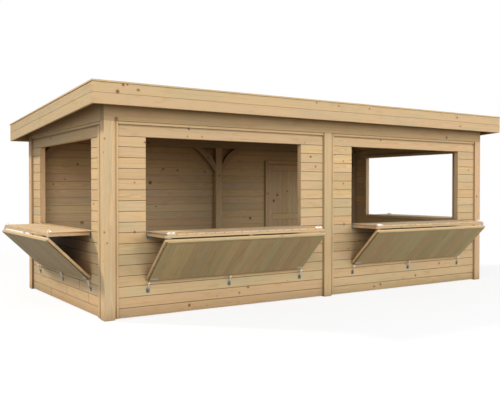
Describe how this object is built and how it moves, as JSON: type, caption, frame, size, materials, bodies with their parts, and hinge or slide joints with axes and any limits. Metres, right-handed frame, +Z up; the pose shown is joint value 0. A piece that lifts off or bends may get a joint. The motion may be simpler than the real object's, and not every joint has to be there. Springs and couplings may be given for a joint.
{
  "type": "wooden market stall",
  "caption": "Boarded timber market stall with a mono-pitch roof, deep fascia, fold-down counter hatches on the front and ends, and a hinged door in the closed back wall.",
  "frame": {"origin": "on the ground under the middle of the overall box, flaps and eaves included", "axes": "+X to the right along the front, +Y to the back (the front faces -Y), +Z up"},
  "size_m": [7.0626, 3.5892, 2.5113],
  "materials": {
    "post_timber": "planed, pressure-treated softwood",
    "beam_timber": "planed, pressure-treated softwood",
    "deck_timber": "planed, pressure-treated softwood",
    "fascia_timber": "planed, pressure-treated softwood",
    "wall_boards": "planed, pressure-treated softwood",
    "lining_timber": "planed, pressure-treated softwood",
    "counter_boards": "planed, pressure-treated softwood",
    "brace_boards": "planed, pressure-treated softwood",
    "door_timber": "planed, pressure-treated softwood",
    "galvanised": "zinc-plated",
    "roofing": "matt sheet"
  },
  "bodies": {
    "stall": {"back_beam": "beam_timber", "back_left_wall": "wall_boards", "corner_posts": "post_timber", "door_frame": "lining_timber", "door_side_walls": "wall_boards", "end_beams": "beam_timber", "front_beam": "beam_timber", "front_left_wall": "wall_boards", "front_right_wall": "wall_boards", "knee_braces": "beam_timber", "left_end_wall": "wall_boards", "lower_fascia_ends": "fascia_timber", "lower_fascia_front_back": "fascia_timber", "middle_posts": "post_timber", "over_door_wall": "wall_boards", "panel_battens": "lining_timber", "rafters": "beam_timber", "right_end_wall": "wall_boards", "roof_covering": "roofing", "roof_deck": "deck_timber", "roof_trim": "fascia_timber", "upper_fascia_ends": "fascia_timber", "upper_fascia_front_back": "fascia_timber", "wall_ironwork": "galvanised", "window_frames": "lining_timber"},
    "front_left_counter_leaf": {"front_left_counter": "counter_boards", "front_left_counter_ironwork": "galvanised"},
    "front_left_brace": {"front_left_brace_leaf": "brace_boards", "front_left_brace_ironwork": "galvanised"},
    "front_right_counter_leaf": {"front_right_counter": "counter_boards", "front_right_counter_ironwork": "galvanised"},
    "front_right_brace": {"front_right_brace_leaf": "brace_boards", "front_right_brace_ironwork": "galvanised"},
    "left_end_counter_leaf": {"left_end_counter": "counter_boards", "left_end_counter_ironwork": "galvanised"},
    "left_end_brace": {"left_end_brace_leaf": "brace_boards", "left_end_brace_ironwork": "galvanised"},
    "right_end_counter_leaf": {"right_end_counter": "counter_boards", "right_end_counter_ironwork": "galvanised"},
    "right_end_brace": {"right_end_brace_leaf": "brace_boards", "right_end_brace_ironwork": "galvanised"},
    "back_door": {"door_leaf": "door_timber", "door_ledges": "door_timber", "door_ironwork": "galvanised"}
  },
  "joints": [
    {"name": "front_left_counter_hinge", "type": "hinge", "parent": "stall", "child": "front_left_counter_leaf", "pos_m": [-1.495, -1.29536, 0.932], "axis": [-1, 0, 0], "range_deg": [0, 90]},
    {"name": "front_left_brace_hinge", "type": "hinge", "parent": "front_left_counter_leaf", "child": "front_left_brace", "pos_m": [-1.495, -1.76536, 0.8825], "axis": [-1, 0, 0], "range_deg": [0, 136.08]},
    {"name": "front_right_counter_hinge", "type": "hinge", "parent": "stall", "child": "front_right_counter_leaf", "pos_m": [1.495, -1.29536, 0.932], "axis": [-1, 0, 0], "range_deg": [0, 90]},
    {"name": "front_right_brace_hinge", "type": "hinge", "parent": "front_right_counter_leaf", "child": "front_right_brace", "pos_m": [1.495, -1.76536, 0.8825], "axis": [-1, 0, 0], "range_deg": [0, 136.08]},
    {"name": "left_end_counter_hinge", "type": "hinge", "parent": "stall", "child": "left_end_counter_leaf", "pos_m": [-3.032, 0.13664, 0.932], "axis": [0, 1, 0], "range_deg": [0, 90]},
    {"name": "left_end_brace_hinge", "type": "hinge", "parent": "left_end_counter_leaf", "child": "left_end_brace", "pos_m": [-3.502, 0.13664, 0.8825], "axis": [0, 1, 0], "range_deg": [0, 136.08]},
    {"name": "right_end_counter_hinge", "type": "hinge", "parent": "stall", "child": "right_end_counter_leaf", "pos_m": [3.032, 0.13664, 0.932], "axis": [0, -1, 0], "range_deg": [0, 90]},
    {"name": "right_end_brace_hinge", "type": "hinge", "parent": "right_end_counter_leaf", "child": "right_end_brace", "pos_m": [3.502, 0.13664, 0.8825], "axis": [0, -1, 0], "range_deg": [0, 136.08]},
    {"name": "door_hinge", "type": "hinge", "parent": "stall", "child": "back_door", "pos_m": [1.992, 1.56764, 0.9225], "axis": [0, 0, -1], "range_deg": [0, 105]}
  ]
}
